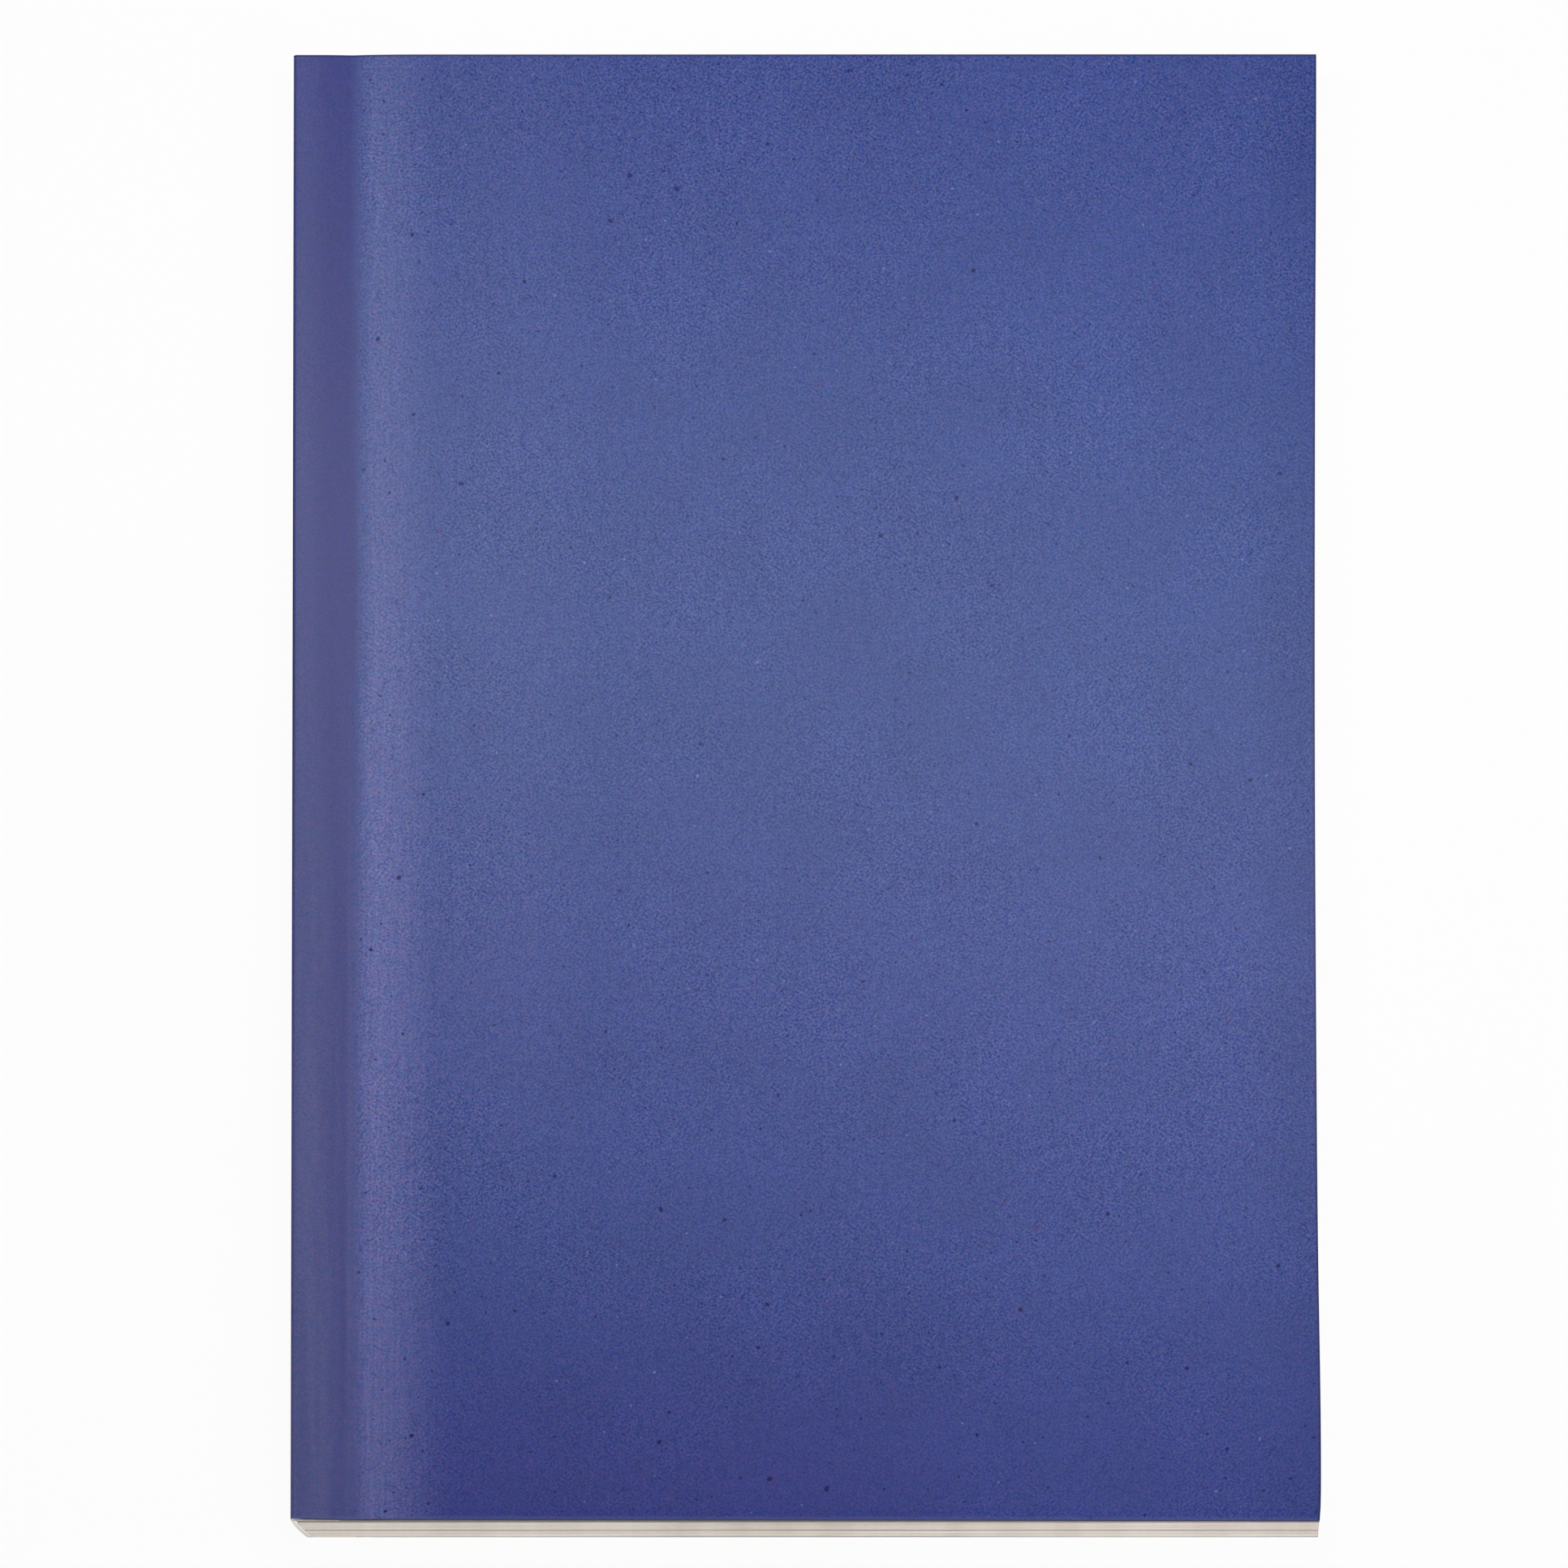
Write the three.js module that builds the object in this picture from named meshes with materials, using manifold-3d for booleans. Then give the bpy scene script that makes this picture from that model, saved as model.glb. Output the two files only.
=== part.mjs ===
import Module from 'manifold-3d';
import * as THREE from 'three';
import { mergeVertices } from 'three/addons/utils/BufferGeometryUtils.js';

// Perfect bound notebook, closed and lying on its back cover.
// X runs across the cover with the spine at -X and the fore edge at +X.
// Y runs along the spine with the head at +Y, and Z goes up through the thickness. Millimetres.

// Trimmed size of cover and leaves
const trimWidth = 152.4;
const trimHeight = 228.6;

// Paper
const leafPitch = 0.1;
const leafAir = 0.01;
const frontTurningLeaves = 12;
const backTurningLeaves = 12;
const sectionCount = 7;
const leavesPerSection = 8;

// Cover card
const cardCaliper = 0.35;
const foldRadius = 0.5;
const spineRadius = 52;

// Degrees that the spine leans inwards where it leaves the front fold
const spineLean = 11;

// Pressed scores that the covers open at
const frontScoreWidth = 8.8;
const backScoreWidth = 11.2;
const scoreDepth = 0.12;
const scoreRun = 1.6;
const scoreGap = 0.3;

// Front panel springing up beyond its score
const panelSpring = 0.3;
const springRun = 13;
const springStart = 2.2;
const springEase = 8;

// Hot melt on the spine and side glue under the strips
const spineGlueThickness = 0.5;
const sideGlueThickness = 0.1;
const bondClearance = 0.05;
const filmClearance = 0.01;

// Milled notches across the back of the leaves
const notchDepth = 0.8;
const notchWidth = 1.1;
const notchPitch = 10;
const notchEndMargin = 8;

// Levels through the thickness
const leafCount = frontTurningLeaves + sectionCount * leavesPerSection + backTurningLeaves;
const blockBottom = cardCaliper + sideGlueThickness;
const blockTop = blockBottom + leafCount * leafPitch;
const stripBottom = blockTop + sideGlueThickness;
const stripTop = stripBottom + cardCaliper;
const panelTop = stripTop + panelSpring;

// Places across the width
const spinePlane = -trimWidth / 2;
const foreEdge = trimWidth / 2;
const frontScore = spinePlane + frontScoreWidth;
const backScore = spinePlane + backScoreWidth;

// Curve of the spine: leans in from the front fold, and more so towards the back fold
const lean = THREE.MathUtils.degToRad(spineLean);
const frontFold = new THREE.Vector2(spinePlane + foldRadius, stripTop - foldRadius);
const spineCentre = new THREE.Vector2(
  frontFold.x + (spineRadius - foldRadius) * Math.cos(lean),
  frontFold.y + (spineRadius - foldRadius) * Math.sin(lean)
);
const backFold = new THREE.Vector2(
  spineCentre.x - Math.sqrt((spineRadius - foldRadius) ** 2 - (foldRadius - spineCentre.y) ** 2),
  foldRadius
);
const spineStart = Math.PI + lean;
const spineEnd = Math.PI + Math.atan2(spineCentre.y - backFold.y, spineCentre.x - backFold.x);

// Depths below the outer face of the spine card
const glueOuterDepth = cardCaliper + bondClearance;
const glueInnerDepth = glueOuterDepth + spineGlueThickness;
const leafEdgeDepth = glueInnerDepth + bondClearance;

// Facets
const foldSteps = 5;
const spineSteps = 12;
const springSteps = 12;

const cardColour = 0x5a659d;
const paperColour = 0xd6cfc6;
const glueColour = 0xd9d3c4;

const wasm = await Module();
wasm.setup();

// Materials, one for each piece

function cardMaterial() {
  return new THREE.MeshStandardMaterial({ color: cardColour, roughness: 0.82, metalness: 0 });
}

function paperMaterial() {
  return new THREE.MeshStandardMaterial({ color: paperColour, roughness: 0.92, metalness: 0 });
}

function glueMaterial() {
  return new THREE.MeshStandardMaterial({ color: glueColour, roughness: 0.45, metalness: 0 });
}

// Outline helpers, all in the plane across the spine: x across, y through the thickness

function arc(centre, radius, from, to, steps) {
  return Array.from({ length: steps + 1 }, (_, i) => {
    const angle = from + ((to - from) * i) / steps;
    return new THREE.Vector2(centre.x + radius * Math.cos(angle), centre.y + radius * Math.sin(angle));
  });
}

// X of the surface that lies a given depth inside the spine card, at height z
function spineX(depth, z) {
  const radius = spineRadius - depth;
  return spineCentre.x - Math.sqrt(radius ** 2 - (spineCentre.y - z) ** 2);
}

function leafBottom(index) {
  return blockBottom + index * leafPitch;
}

function leafTop(index) {
  return leafBottom(index) + leafPitch - leafAir;
}

// Leaf numbers, counted from the back, at which the margins and sections begin, and the last one's end
function stackBounds() {
  const bounds = [0];
  for (let i = 0; i <= sectionCount; i += 1) {
    bounds.push(backTurningLeaves + i * leavesPerSection);
  }
  bounds.push(leafCount);
  return bounds;
}

// Outline drawn across the spine, swept along it from tail to head
function sweepAlongSpine(points, length = trimHeight, middle = 0) {
  const geometry = new THREE.ExtrudeGeometry(new THREE.Shape(points), { depth: length, bevelEnabled: false });
  geometry.rotateX(Math.PI / 2);
  geometry.translate(0, middle + length / 2, 0);
  return geometry;
}

function toSolid(geometry) {
  const bare = geometry.clone();
  bare.deleteAttribute('normal');
  bare.deleteAttribute('uv');
  const merged = mergeVertices(bare);
  const mesh = new wasm.Mesh({
    numProp: 3,
    vertProperties: Float32Array.from(merged.attributes.position.array),
    triVerts: Uint32Array.from(merged.index.array),
  });
  return new wasm.Manifold(mesh);
}

function toGeometry(solid) {
  const mesh = solid.getMesh();
  const geometry = new THREE.BufferGeometry();
  geometry.setAttribute('position', new THREE.BufferAttribute(mesh.vertProperties, 3));
  geometry.setIndex(new THREE.BufferAttribute(mesh.triVerts, 1));
  geometry.computeVertexNormals();
  return geometry;
}

// Cover card

// Front strip, curved spine and back strip are one length of card, folded twice and pressed thin at both scores
function spineWrapOutline() {
  const innerFold = foldRadius - cardCaliper;
  return [
    new THREE.Vector2(frontScore, stripTop - scoreDepth),
    new THREE.Vector2(frontScore - scoreRun, stripTop),
    ...arc(frontFold, foldRadius, Math.PI / 2, Math.PI, foldSteps),
    ...arc(spineCentre, spineRadius, spineStart, spineEnd, spineSteps),
    ...arc(backFold, foldRadius, spineEnd, 1.5 * Math.PI, foldSteps).slice(1),
    new THREE.Vector2(backScore - scoreRun, 0),
    new THREE.Vector2(backScore, scoreDepth),
    new THREE.Vector2(backScore, cardCaliper),
    ...arc(backFold, innerFold, 1.5 * Math.PI, spineEnd, foldSteps),
    ...arc(spineCentre, spineRadius - cardCaliper, spineEnd, spineStart, spineSteps).slice(1),
    ...arc(frontFold, innerFold, spineStart, Math.PI / 2, foldSteps).slice(1),
    new THREE.Vector2(frontScore, stripBottom),
  ];
}

// Rises from the score in one soft curve and lies flat from there to the fore edge
function springCurve(startZ, endZ) {
  const startX = frontScore + scoreGap;
  const curve = new THREE.CubicBezierCurve(
    new THREE.Vector2(startX, startZ),
    new THREE.Vector2(startX + springStart, startZ),
    new THREE.Vector2(startX + springRun - springEase, endZ),
    new THREE.Vector2(startX + springRun, endZ)
  );
  return curve.getPoints(springSteps);
}

function frontPanelOutline() {
  return [
    ...springCurve(stripBottom, panelTop - cardCaliper),
    new THREE.Vector2(foreEdge, panelTop - cardCaliper),
    new THREE.Vector2(foreEdge, panelTop),
    ...springCurve(stripTop - scoreDepth, panelTop).reverse(),
  ];
}

function backPanelOutline() {
  const startX = backScore + scoreGap;
  return [
    new THREE.Vector2(startX, scoreDepth),
    new THREE.Vector2(startX + scoreRun, 0),
    new THREE.Vector2(foreEdge, 0),
    new THREE.Vector2(foreEdge, cardCaliper),
    new THREE.Vector2(startX, cardCaliper),
  ];
}

// Leaves and adhesive

function notchCentres() {
  const span = trimHeight - 2 * notchEndMargin;
  const count = Math.floor(span / notchPitch) + 1;
  return Array.from({ length: count }, (_, i) => (i - (count - 1) / 2) * notchPitch);
}

// A stack of leaves seen from above, its bound edge on the left with the milled notches
function notchedOutline(boundEdge, farEdge) {
  const half = trimHeight / 2;
  const points = [
    new THREE.Vector2(boundEdge, -half),
    new THREE.Vector2(farEdge, -half),
    new THREE.Vector2(farEdge, half),
    new THREE.Vector2(boundEdge, half),
  ];
  for (const y of notchCentres().reverse()) {
    points.push(new THREE.Vector2(boundEdge, y + notchWidth / 2));
    points.push(new THREE.Vector2(boundEdge + notchDepth, y + notchWidth / 2));
    points.push(new THREE.Vector2(boundEdge + notchDepth, y - notchWidth / 2));
    points.push(new THREE.Vector2(boundEdge, y - notchWidth / 2));
  }
  return new THREE.Shape(points);
}

// Leaves first to last bound together, their edge leaning along the curve of the spine
function leafStack(first, last, farEdge) {
  const bottom = leafBottom(first);
  const top = leafTop(last);
  const boundEdge = spineX(leafEdgeDepth, frontFold.y);
  const geometry = new THREE.ExtrudeGeometry(notchedOutline(boundEdge, farEdge), {
    depth: top - bottom,
    bevelEnabled: false,
  });
  geometry.translate(0, 0, bottom);
  const position = geometry.attributes.position;
  for (let i = 0; i < position.count; i += 1) {
    if (position.getX(i) < boundEdge + 2 * notchDepth) {
      const drawnIn = spineX(leafEdgeDepth, position.getZ(i)) - boundEdge;
      position.setX(i, position.getX(i) + drawnIn);
    }
  }
  return geometry;
}

// Film of hot melt along the leaves' edges, between two depths below the spine, moved inwards by a shift
function glueOutline(outerDepth, innerDepth, outerShift, innerShift) {
  const heights = stackBounds().map(leafBottom);
  const outer = heights.map((z) => new THREE.Vector2(spineX(outerDepth, z) + outerShift, z));
  const inner = heights.map((z) => new THREE.Vector2(spineX(innerDepth, z) + innerShift, z));
  return [...outer.reverse(), ...inner];
}

// The film with a rib of hot melt standing in every milled notch
function spineAdhesive() {
  let solid = toSolid(sweepAlongSpine(glueOutline(glueOuterDepth, glueInnerDepth, 0, 0)));
  const ribOutline = glueOutline(glueInnerDepth, glueInnerDepth, -spineGlueThickness / 2, notchDepth);
  for (const y of notchCentres()) {
    const rib = sweepAlongSpine(ribOutline, notchWidth - 2 * bondClearance, y);
    solid = solid.add(toSolid(rib));
  }
  return toGeometry(solid);
}

function sideGlue(leafZ, score, bottom) {
  const left = spineX(leafEdgeDepth, leafZ);
  const right = score - scoreRun;
  const thickness = sideGlueThickness - 2 * filmClearance;
  const geometry = new THREE.BoxGeometry(right - left, trimHeight, thickness);
  geometry.translate((left + right) / 2, 0, bottom + filmClearance + thickness / 2);
  return geometry;
}

const notebook = new THREE.Group();

function addPiece(name, geometry, material) {
  const mesh = new THREE.Mesh(geometry, material);
  mesh.name = name;
  notebook.add(mesh);
  return mesh;
}

function addTurningLeaf(name, index, score) {
  const left = score + scoreGap;
  const caliper = leafPitch - leafAir;
  const leaf = addPiece(name, new THREE.BoxGeometry(foreEdge - left, trimHeight, caliper), paperMaterial());
  leaf.position.set((left + foreEdge) / 2, 0, leafBottom(index) + caliper / 2);
}

function twoDigits(number) {
  return String(number).padStart(2, '0');
}

// The cover
addPiece('cover_front_panel', sweepAlongSpine(frontPanelOutline()), cardMaterial());
addPiece('cover_spine_wrap', sweepAlongSpine(spineWrapOutline()), cardMaterial());
addPiece('cover_back_panel', sweepAlongSpine(backPanelOutline()), cardMaterial());

// The adhesives
addPiece('spine_adhesive', spineAdhesive(), glueMaterial());
addPiece('front_side_glue', sideGlue(blockTop, frontScore, blockTop), glueMaterial());
addPiece('back_side_glue', sideGlue(blockBottom, backScore, cardCaliper), glueMaterial());

// The bound gutters of the leaves that turn
addPiece('back_leaf_margins', leafStack(0, backTurningLeaves - 1, backScore), paperMaterial());
addPiece('front_leaf_margins', leafStack(leafCount - frontTurningLeaves, leafCount - 1, frontScore), paperMaterial());

// The sections in the middle of the block, from the back
for (let i = 0; i < sectionCount; i += 1) {
  const first = backTurningLeaves + i * leavesPerSection;
  const section = leafStack(first, first + leavesPerSection - 1, foreEdge);
  addPiece(`page_section_${i + 1}`, section, paperMaterial());
}

// The leaves that turn, counted from each cover inwards
for (let i = 1; i <= frontTurningLeaves; i += 1) {
  addTurningLeaf(`front_leaf_${twoDigits(i)}`, leafCount - i, frontScore);
}
for (let i = 1; i <= backTurningLeaves; i += 1) {
  addTurningLeaf(`back_leaf_${twoDigits(i)}`, i - 1, backScore);
}

export default notebook;
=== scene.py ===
import math
import random

import bmesh
import bpy
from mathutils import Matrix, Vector


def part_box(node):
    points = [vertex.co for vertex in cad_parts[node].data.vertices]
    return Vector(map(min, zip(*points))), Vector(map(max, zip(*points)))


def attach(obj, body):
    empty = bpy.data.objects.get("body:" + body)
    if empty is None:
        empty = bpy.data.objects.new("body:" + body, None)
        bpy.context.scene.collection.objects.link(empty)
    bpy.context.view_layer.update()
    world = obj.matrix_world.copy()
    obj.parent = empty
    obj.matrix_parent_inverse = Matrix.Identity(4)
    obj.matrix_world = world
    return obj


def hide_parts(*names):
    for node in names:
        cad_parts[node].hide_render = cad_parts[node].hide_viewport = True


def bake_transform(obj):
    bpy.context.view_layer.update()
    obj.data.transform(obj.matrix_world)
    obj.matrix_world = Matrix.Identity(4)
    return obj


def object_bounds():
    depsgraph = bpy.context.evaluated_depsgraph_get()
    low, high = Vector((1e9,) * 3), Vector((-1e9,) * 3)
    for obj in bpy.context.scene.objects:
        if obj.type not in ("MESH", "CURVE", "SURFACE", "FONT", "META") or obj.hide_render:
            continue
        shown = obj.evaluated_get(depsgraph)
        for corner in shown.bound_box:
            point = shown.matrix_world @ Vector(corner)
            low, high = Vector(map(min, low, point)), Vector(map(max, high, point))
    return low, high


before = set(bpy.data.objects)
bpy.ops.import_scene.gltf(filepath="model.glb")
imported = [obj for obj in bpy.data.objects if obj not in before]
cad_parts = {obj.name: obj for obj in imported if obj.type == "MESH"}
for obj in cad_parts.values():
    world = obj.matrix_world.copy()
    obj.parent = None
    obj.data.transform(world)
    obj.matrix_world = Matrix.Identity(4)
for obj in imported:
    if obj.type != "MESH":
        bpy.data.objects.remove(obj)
CAD_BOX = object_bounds()
MM = 0.001

# Places and thicknesses taken from the frame
SPINE_X, TAIL_Y = CAD_BOX[0].x, CAD_BOX[0].y
FORE_X, HEAD_Y = CAD_BOX[1].x, CAD_BOX[1].y
WIDTH = FORE_X - SPINE_X
HEIGHT = HEAD_Y - TAIL_Y
STRIP_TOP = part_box("cover_spine_wrap")[1].z
PANEL_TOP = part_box("cover_front_panel")[1].z
STRIP_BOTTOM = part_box("cover_front_panel")[0].z
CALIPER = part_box("cover_back_panel")[1].z
FRONT_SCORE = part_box("front_leaf_margins")[1].x
BACK_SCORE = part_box("back_leaf_margins")[1].x
LEAF_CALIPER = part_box("front_leaf_01")[1].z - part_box("front_leaf_01")[0].z
LEAF_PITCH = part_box("front_leaf_01")[0].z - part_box("front_leaf_02")[0].z

# How the block of leaves is made up: leaves that turn at each cover, and closed sections between them
TURNING_LEAVES = 12
SECTIONS = 7
LEAVES_PER_SECTION = 8

# The card's bends and the leaves' milled edge, as on the solids
FOLD_RADIUS = 0.5 * MM
SPINE_RADIUS = 52 * MM
SPINE_LEAN = math.radians(11)
LEAF_EDGE_DEPTH = 0.95 * MM  # from the spine's outer face to the leaves' bound edges
NOTCH_DEPTH = 0.8 * MM
NOTCH_WIDTH = 1.1 * MM
NOTCH_PITCH = 10 * MM
NOTCH_END_MARGIN = 8 * MM

# Score and sprung front panel, measured from the spine edge
STRIP_FLAT_END = 4.2 * MM
SCORE_DIP = 0.16 * MM
SCORE_CURVE = 1.6
SCORE_PRESS_END = 3 * MM  # how far past the score the card is pressed thin
SPRING_END = 22 * MM
SPRING_CURVE = 2.6
BACK_SCORE_HALF_WIDTH = 0.9 * MM

# The sprung crest wanders: share, length and phase of its waves along the spine
CREST_WOBBLE = 0.7 * MM
CREST_WAVES = ((0.6, 21 * MM, 0.7), (0.4, 8.3 * MM, 2.1))

# The open panel isn't quite flat: length and phase of its swell, across and along
PANEL_SWELL = 0.035 * MM
SWELL_ACROSS = (31 * MM, 0.4)
SWELL_ALONG = (37 * MM, 1.1)

# The card's outer face is rounded down at the tail: rows of faces for that, as shares of the radius
LIP_RADIUS = 0.26 * MM
LIP_DROP = 0.15 * MM
LIP_ROWS = (0.06, 0.22, 0.5, 1.0)

# Wear of the tail corner at the spine, on the cover and round on the spine
CORNER_WEAR = 0.27 * MM
CORNER_WEAR_REACH = 5 * MM
SPINE_WEAR_REACH = 1.4 * MM

# The front cover's tail edge is trimmed a little out of square
TAIL_FLARE = 0.26 * MM
TAIL_DRAWN_IN = 0.06 * MM
TAIL_FLARE_START = 4 * MM
TAIL_FAULTS_END = 20 * MM

# Faults of the trimmed fore edge: depth, then middle and half length as shares of the height from the tail
FORE_WAIST = (0.32 * MM, 0.52, 0.3)
FORE_BULGE = (0.36 * MM, 0.045, 0.11)
BULGE_AT_TAIL, BULGE_RISE = 0.45, 0.03  # how far it has risen at the tail, and the length of a full rise
FORE_FLARE = 0.15 * MM
FLARE_START = 0.75  # share of the height from which the head end flares out
DRIFT_POWER = 3  # the faults fade out towards the spine

# How much the single leaves differ, and the lean of the block
LEAF_SHIFT = 0.035 * MM
LEAF_SET_BACK = 0.07 * MM
LEAF_RIPPLE = 0.02 * MM
RIPPLE_ACROSS, RIPPLE_ALONG = 17 * MM, 23 * MM
BLOCK_LEAN = 0.22 * MM

# Where the card's lengths meet, and where the leaves get more rows of faces, beside the scores
CARD_FOLD_START = -0.2 * MM
LEAF_FOLD_START = -0.4 * MM
LEAF_FOLD_END = 6 * MM

# Height, half width and strength of the painted shade lines across the leaves' edges: under the card's edge,
# and where gathers of leaves stand back a little
SHADED_LINES = (
    (STRIP_BOTTOM, 1.05 * MM, 4.1),
    (3.8 * MM, 0.26 * MM, 3.0),
    (6.4 * MM, 0.15 * MM, 1.6),
    (5.3 * MM, 0.12 * MM, 0.5),
    (2.1 * MM, 0.15 * MM, 1.1),
    (1.1 * MM, 0.14 * MM, 0.5),
)

# Rows of faces on the card: along the spine, then across each stretch from the fore edge round to the back
COVER_ROWS = 96
FLAT_PANEL_ROWS, SPRUNG_ROWS, STRIP_ROWS = 22, 44, 18
FRONT_FOLD_ROWS, SPINE_ROWS, BACK_FOLD_ROWS = 8, 28, 6
BACK_STRIP_ROWS, BACK_BEND_ROWS, BACK_PANEL_ROWS = 12, 20, 16
SPRUNG_ROWS_END = SPRING_END + 2 * MM
BACK_BEND_WIDTH = 8 * MM

# Rows of faces on a leaf: across, along, and where it bends
LEAF_ROWS_ACROSS = 16
LEAF_ROWS_ALONG = 44
LEAF_BEND_ROWS = 14

# Cutting and shading of the meshes
ACROSS, ALONG = Vector((1, 0, 0)), Vector((0, 1, 0))
CUT_TOLERANCE = 1e-7
SHARP_ANGLE = math.radians(35)
ON_EDGE = 0.5  # a face whose normal has less height than this stands on edge

# Names of the sheets' UV map and of the leaves' attribute that holds each leaf's own tone plus its painted
# shade
SHEET_UV = "sheet"
LEAF_TONE_AND_SHADE = "leaf_tone_and_shade"

# Spine path: front fold, long spine curve, back fold
FRONT_FOLD = Vector((SPINE_X + FOLD_RADIUS, STRIP_TOP - FOLD_RADIUS))
BETWEEN_CENTRES = SPINE_RADIUS - FOLD_RADIUS
SPINE_CENTRE = FRONT_FOLD + BETWEEN_CENTRES * Vector((math.cos(SPINE_LEAN), math.sin(SPINE_LEAN)))
BACK_FOLD_OFFSET = math.sqrt(BETWEEN_CENTRES ** 2 - (FOLD_RADIUS - SPINE_CENTRE.y) ** 2)
BACK_FOLD = Vector((SPINE_CENTRE.x - BACK_FOLD_OFFSET, FOLD_RADIUS))
SPINE_END_LEAN = math.atan2(SPINE_CENTRE.y - BACK_FOLD.y, SPINE_CENTRE.x - BACK_FOLD.x)

# The same path measured along the flat sheet: u is 0 at the spine edge, positive over the front cover
FRONT_FOLD_START = FOLD_RADIUS
SPINE_START = FRONT_FOLD_START - FOLD_RADIUS * (math.pi / 2 + SPINE_LEAN)
BACK_FOLD_START = SPINE_START - SPINE_RADIUS * (SPINE_END_LEAN - SPINE_LEAN)
BACK_START = BACK_FOLD_START - FOLD_RADIUS * (math.pi / 2 - SPINE_END_LEAN)
FRONT_SCORE_U = FRONT_SCORE - SPINE_X
BACK_SCORE_U = BACK_START - (BACK_SCORE - BACK_FOLD.x)
BACK_EDGE_U = BACK_START - (FORE_X - BACK_FOLD.x)


# Curves of the sheet

def ease(t):
    """Soft step from 0 to 1."""
    t = min(1.0, max(0.0, t))
    return t * t * (3 - 2 * t)


def wave(place, length_and_phase):
    """Height of a sine wave at that place."""
    length, phase = length_and_phase
    return math.sin(place / length + phase)


def bump_at(t, fault):
    """A soft hump of the fore edge, by its depth, middle and half length."""
    depth, middle, half = fault
    return depth * math.exp(-(((t - middle) / half) ** 2))


def crest_shift(y):
    """The crest beside the score wanders a little along the spine."""
    return CREST_WOBBLE * sum(share * wave(y, (length, phase)) for share, length, phase in CREST_WAVES)


def front_face(u, y):
    """Height of the front cover's outer face at distance u from the spine edge."""
    if u < STRIP_FLAT_END:
        return STRIP_TOP
    if u < FRONT_SCORE_U:
        t = (u - STRIP_FLAT_END) / (FRONT_SCORE_U - STRIP_FLAT_END)
        return STRIP_TOP - SCORE_DIP * t ** SCORE_CURVE
    t = min(1.0, (u - FRONT_SCORE_U) / (SPRING_END + crest_shift(y) - FRONT_SCORE_U))
    rise = 1 - (1 - t) ** SPRING_CURVE
    low = STRIP_TOP - SCORE_DIP
    swell = PANEL_SWELL * wave(u, SWELL_ACROSS) * wave(y, SWELL_ALONG) * ease(t)
    return low + (PANEL_TOP - low) * rise + swell


def back_face(u):
    """Height of the back cover's outer face, pressed up at its score."""
    return SCORE_DIP * math.exp(-(((u - BACK_SCORE_U) / BACK_SCORE_HALF_WIDTH) ** 2))


def fore_drift(share, y):
    """Sideways wander of the trimmed fore edge, fading out towards the spine."""
    t = (y - TAIL_Y) / HEIGHT
    bulge = bump_at(t, FORE_BULGE) * ease(BULGE_AT_TAIL + t / BULGE_RISE)
    flare = FORE_FLARE * ease((t - FLARE_START) / (1 - FLARE_START))
    return (bulge - bump_at(t, FORE_WAIST) + flare) * share ** DRIFT_POWER


def block_lean(z):
    """The fore edge is trimmed a little askew, so that it runs inwards towards the back cover."""
    return -BLOCK_LEAN * max(0.0, 1 - z / STRIP_BOTTOM)


def lip_drop(y):
    """How far the outer face is rounded down close to the tail."""
    t = 1 - min(1.0, max(0.0, (y - TAIL_Y) / LIP_RADIUS))
    return LIP_DROP * (1 - math.sqrt(1 - t * t))


def card_thickness(u):
    """Full caliper, but squeezed thin where the score is pressed in."""
    if STRIP_FLAT_END < u < FRONT_SCORE_U + SCORE_PRESS_END:
        return min(CALIPER, front_face(u, 0) - STRIP_BOTTOM)
    return CALIPER - back_face(u)


def around(centre, radius, angle):
    """X and z of the point at that angle round a fold's centre."""
    return centre.x + radius * math.cos(angle), centre.y + radius * math.sin(angle)


def card_point(u, y, depth):
    """Where the flat sheet's point (u, y) comes to lie, at a share of the thickness below the outer face."""
    inside = depth * card_thickness(u) + (1 - depth) * lip_drop(y)
    if u >= FRONT_FOLD_START:
        x, z = SPINE_X + u, front_face(u, y) - inside
    elif u >= SPINE_START:
        angle = math.pi / 2 + (FRONT_FOLD_START - u) / FOLD_RADIUS
        x, z = around(FRONT_FOLD, FOLD_RADIUS - inside, angle)
    elif u >= BACK_FOLD_START:
        angle = math.pi + SPINE_LEAN + (SPINE_START - u) / SPINE_RADIUS
        x, z = around(SPINE_CENTRE, SPINE_RADIUS - inside, angle)
    elif u >= BACK_START:
        angle = math.pi + SPINE_END_LEAN + (BACK_FOLD_START - u) / FOLD_RADIUS
        x, z = around(BACK_FOLD, FOLD_RADIUS - inside, angle)
    else:
        x, z = BACK_FOLD.x + BACK_START - u, back_face(u) + inside
    share = max(0.0, (x - SPINE_X) / WIDTH)
    wear = CORNER_WEAR * math.exp(-abs(u) / (CORNER_WEAR_REACH if u > 0 else SPINE_WEAR_REACH))
    flare = (TAIL_FLARE * share - TAIL_DRAWN_IN) * ease(u / TAIL_FLARE_START)
    at_tail = ease(1 - (y - TAIL_Y) / TAIL_FAULTS_END)
    sideways = fore_drift(share, y) + block_lean(z) * share
    return Vector((x + sideways, y + (wear - flare) * at_tail, z))


def spine_x(depth, z):
    """X of the surface that lies a depth inside the spine card."""
    return SPINE_CENTRE.x - math.sqrt((SPINE_RADIUS - depth) ** 2 - (SPINE_CENTRE.y - z) ** 2)


# Mesh helpers

def cut_at(bm, places, direction):
    """Cuts new rows of faces at these places along a direction."""
    for place in places:
        geom = bm.verts[:] + bm.edges[:] + bm.faces[:]
        at = direction * place
        bmesh.ops.bisect_plane(bm, geom=geom, plane_co=at, plane_no=direction, dist=CUT_TOLERANCE)


def spaced(start, end, count):
    """Places from start to end, with that many equal steps between them."""
    return [start + (end - start) * i / count for i in range(count + 1)]


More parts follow.
